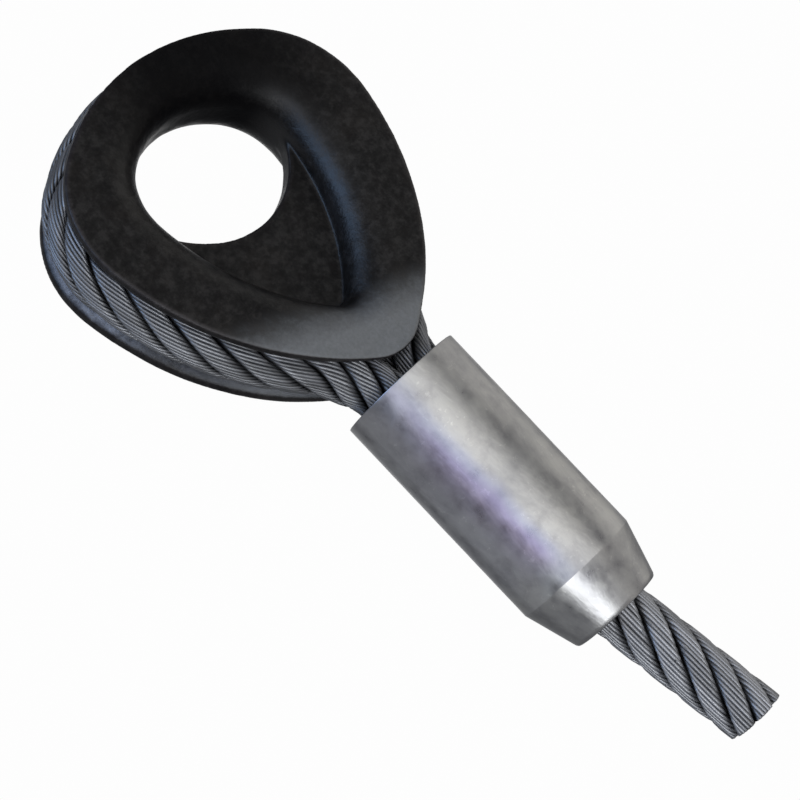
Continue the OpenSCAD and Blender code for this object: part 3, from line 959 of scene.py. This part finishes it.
# Soft light from round the object: direction (right, down, away), half-angle where it is full,
# half-angle where it ends, strength and colour.
AMBIENT = (0.100, 0.103, 0.110)
LOBES = [
    ((0.05, -0.03, -1.0), 4, 50, 0.58, (0.97, 0.98, 1.0)),
    ((0.36, -0.38, -0.85), 8, 44, 0.42, (1.0, 0.99, 0.95)),
    ((-0.22, 0.14, -0.96), 4, 22, 0.50, (0.58, 0.68, 1.0)),
    ((0.685, -0.656, 0.31), 8, 42, 0.45, (1.0, 0.98, 0.93)),
    ((-0.70, 0.66, -0.10), 8, 44, 0.18, (0.92, 0.95, 1.0)),
    ((-0.79, -0.20, -0.58), 5, 28, 2.4, (0.40, 0.62, 1.0)),
    ((0.97, 0.10, -0.20), 8, 42, 0.22, (1.0, 0.97, 0.93)),
    ((0.16, 0.60, -0.78), 5, 21, 3.1, (0.95, 0.98, 1.0)),
    ((-0.30, -0.30, 0.90), 10, 64, 0.20, (0.97, 0.98, 1.0)),
    ((-0.05, -0.05, 1.0), 4, 24, 0.80, (1.0, 0.99, 0.97)),
]


def from_camera(right, down, away):
    return RIGHT * right + DOWN * down + AWAY * away


def make_camera():
    data = bpy.data.cameras.new("camera")
    data.lens = 99.0
    data.sensor_width = 36.0
    data.clip_start = 0.01
    data.clip_end = 20.0
    camera = bpy.data.objects.new("camera", data)
    bpy.context.scene.collection.objects.link(camera)
    turn = Matrix((RIGHT, -DOWN, -AWAY)).transposed().to_4x4()
    place = -from_camera(*(Vector(ORIGIN_SEEN) * MM))
    camera.matrix_world = Matrix.Translation(place) @ turn
    bpy.context.scene.camera = camera


def make_floor():
    """A white floor that only the camera sees."""
    corners = [(x * FLOOR_HALF, y * FLOOR_HALF, FLOOR_Z) for x, y in ((-1, -1), (1, -1), (1, 1), (-1, 1))]
    me = bpy.data.meshes.new("floor")
    me.from_pydata(corners, [], [(0, 1, 2, 3)])
    floor = bpy.data.objects.new("floor", me)
    bpy.context.scene.collection.objects.link(floor)
    m = new_material("floor_white")
    shown = m.add("ShaderNodeEmission", {0: WHITE})
    other = m.add("ShaderNodeBsdfDiffuse", {0: 0.60})
    m.add("ShaderNodeOutputMaterial", {0: m.split_camera(shown, other)})
    me.materials.append(m.owner)
    floor.visible_diffuse = False
    floor.visible_glossy = False
    floor.visible_transmission = False
    floor.visible_shadow = False


def make_world():
    """White to the camera; the ambient light and the lobes light the object."""
    world = bpy.data.worlds.new("studio")
    bpy.context.scene.world = world
    w = Shader(world)
    ray = w.add("ShaderNodeTexCoord").outputs["Generated"]
    total = w.add("ShaderNodeRGB").outputs[0]
    total.default_value = rgba(AMBIENT)
    for towards, full, ends, power, colour in LOBES:
        inputs = {0: ray, 1: from_camera(*towards).normalized()}
        dot = w.add("ShaderNodeVectorMath", inputs, operation="DOT_PRODUCT").outputs["Value"]
        start, end = math.cos(math.radians(ends)), math.cos(math.radians(full))
        inputs = {0: [power * c for c in colour], "Scale": w.fade(dot, start, end)}
        lobe = w.add("ShaderNodeVectorMath", inputs, operation="SCALE").outputs[0]
        total = w.add("ShaderNodeVectorMath", {0: total, 1: lobe}, operation="ADD").outputs[0]
    shown = w.add("ShaderNodeBackground", {0: WHITE})
    light = w.add("ShaderNodeBackground", {0: total})
    w.add("ShaderNodeOutputWorld", {0: w.split_camera(shown, light)})
    world.cycles.sampling_method = "MANUAL"
    world.cycles.sample_map_resolution = 512


# --------------------------------------------------------------------------
# Build
# --------------------------------------------------------------------------
paint_black, steel = mat_thimble(), mat_sleeve()
rope_wire, core_wire = mat_rope("rope_wire"), mat_rope("core_wire", dark=True)

thimble = make_thimble()
paint(thimble, paint_black)
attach(thimble, "eye")
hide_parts("thimble_body", "gusset_web")

sleeve = make_sleeve()
paint(sleeve, steel)
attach(sleeve, "eye")
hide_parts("sleeve")

loop_strands = make_loop()
tail_strands, tail_cores = make_tail()
loop_cores = [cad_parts[name] for name in ("loop_core_king", "loop_core_strands")]
for ob in loop_strands + tail_strands:
    paint(ob, rope_wire)
for ob in tail_cores + loop_cores:
    paint(ob, core_wire)

make_camera()
make_floor()
make_world()

view = bpy.context.scene.view_settings
view.view_transform = "Standard"
view.look = "None"
view.exposure = 0.0
view.gamma = 1.0
